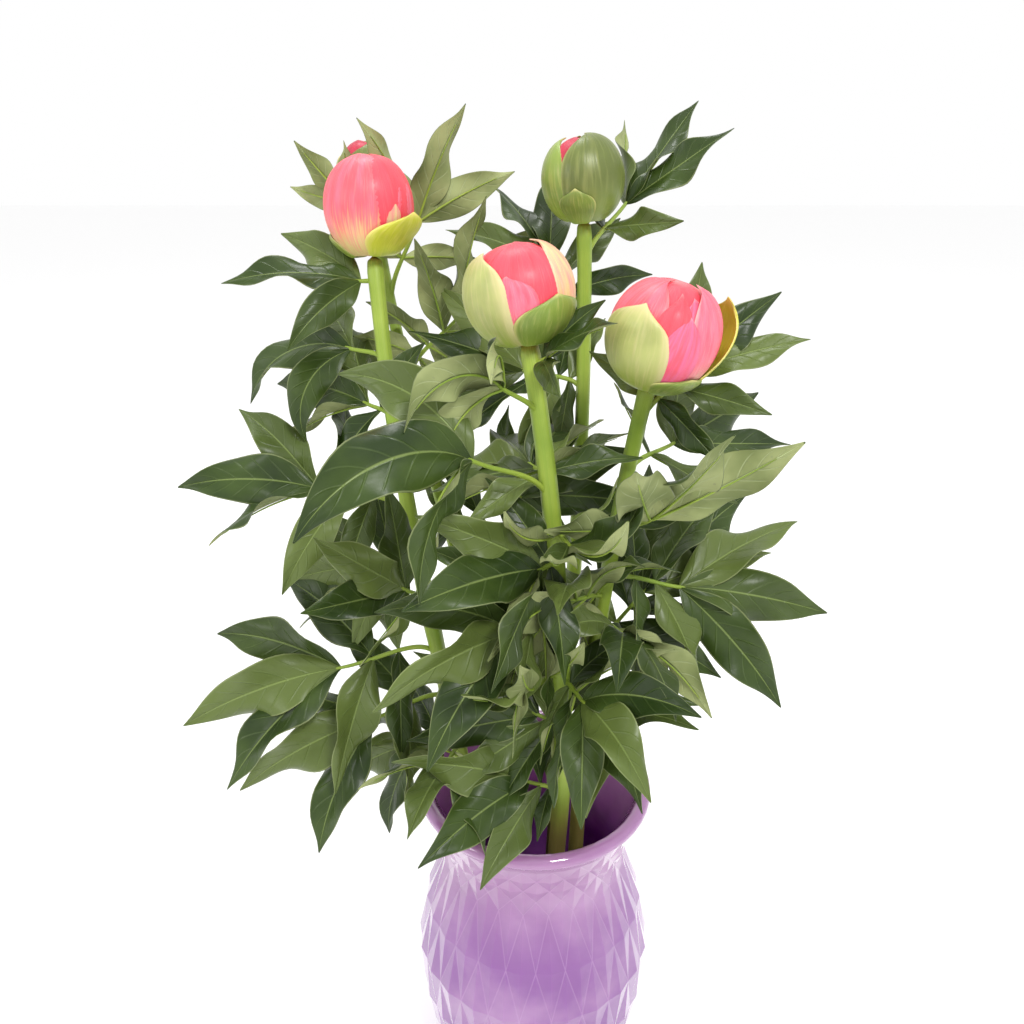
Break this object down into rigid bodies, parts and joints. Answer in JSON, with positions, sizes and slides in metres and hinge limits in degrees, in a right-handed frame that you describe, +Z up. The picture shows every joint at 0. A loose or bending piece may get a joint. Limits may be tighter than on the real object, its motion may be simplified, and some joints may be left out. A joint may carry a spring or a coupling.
{
  "type": "peony buds and foliage in a pressed-glass vase",
  "caption": "Upright pressed-glass vase with a rolled lip, a pinched neck and a faceted belly, holding a loose bunch of cut peony stems with closed buds and compound leaves.",
  "frame": {"origin": "centre of the vase's flat foot, on the surface it stands on", "axes": "+Z up along the vase's axis; -Y towards the viewer of the front; +X to the viewer's right"},
  "size_m": [0.3019, 0.2209, 0.5003],
  "materials": {
    "vase_glass": "opal lilac pressed glass, glossy",
    "stem": "fresh green stem, satin",
    "leaf": "glossy dark green above, matte pale green below",
    "sepal": "waxy yellow-green",
    "petal": "coral pink with cream edges, satin"
  },
  "bodies": {
    "root": {"bud_back_left_petal_ball": "petal", "bud_back_left_sepal_1": "sepal", "bud_back_left_sepal_2": "sepal", "bud_back_right_petal_ball": "petal", "bud_back_right_sepal_1": "sepal", "bud_back_right_sepal_2": "sepal", "bud_front_outer_petal_1": "petal", "bud_front_petal_ball": "petal", "bud_front_sepal_1": "sepal", "bud_front_sepal_2": "sepal", "bud_left_outer_petal_1": "petal", "bud_left_petal_ball": "petal", "bud_left_sepal_1": "sepal", "bud_left_sepal_2": "sepal", "bud_right_outer_petal_1": "petal", "bud_right_petal_ball": "petal", "bud_right_sepal_1": "sepal", "bud_right_sepal_2": "sepal", "leaf_back_left_30": "leaf", "leaf_back_left_31": "leaf", "leaf_back_left_32": "leaf", "leaf_back_left_33": "leaf", "leaf_back_right_34": "leaf", "leaf_back_right_35": "leaf", "leaf_back_right_36": "leaf", "leaf_front_01": "leaf", "leaf_front_02": "leaf", "leaf_front_03": "leaf", "leaf_front_04": "leaf", "leaf_front_05": "leaf", "leaf_front_06": "leaf", "leaf_front_07": "leaf", "leaf_front_08": "leaf", "leaf_front_09": "leaf", "leaf_front_10": "leaf", "leaf_front_11": "leaf", "leaf_left_20": "leaf", "leaf_left_21": "leaf", "leaf_left_22": "leaf", "leaf_left_23": "leaf", "leaf_left_24": "leaf", "leaf_left_25": "leaf", "leaf_left_26": "leaf", "leaf_left_27": "leaf", "leaf_left_28": "leaf", "leaf_left_29": "leaf", "leaf_right_12": "leaf", "leaf_right_13": "leaf", "leaf_right_14": "leaf", "leaf_right_15": "leaf", "leaf_right_16": "leaf", "leaf_right_17": "leaf", "leaf_right_18": "leaf", "leaf_right_19": "leaf", "stem_back_left": "stem", "stem_back_right": "stem", "stem_front": "stem", "stem_left": "stem", "stem_right": "stem", "vase": "vase_glass"}
  },
  "joints": []
}
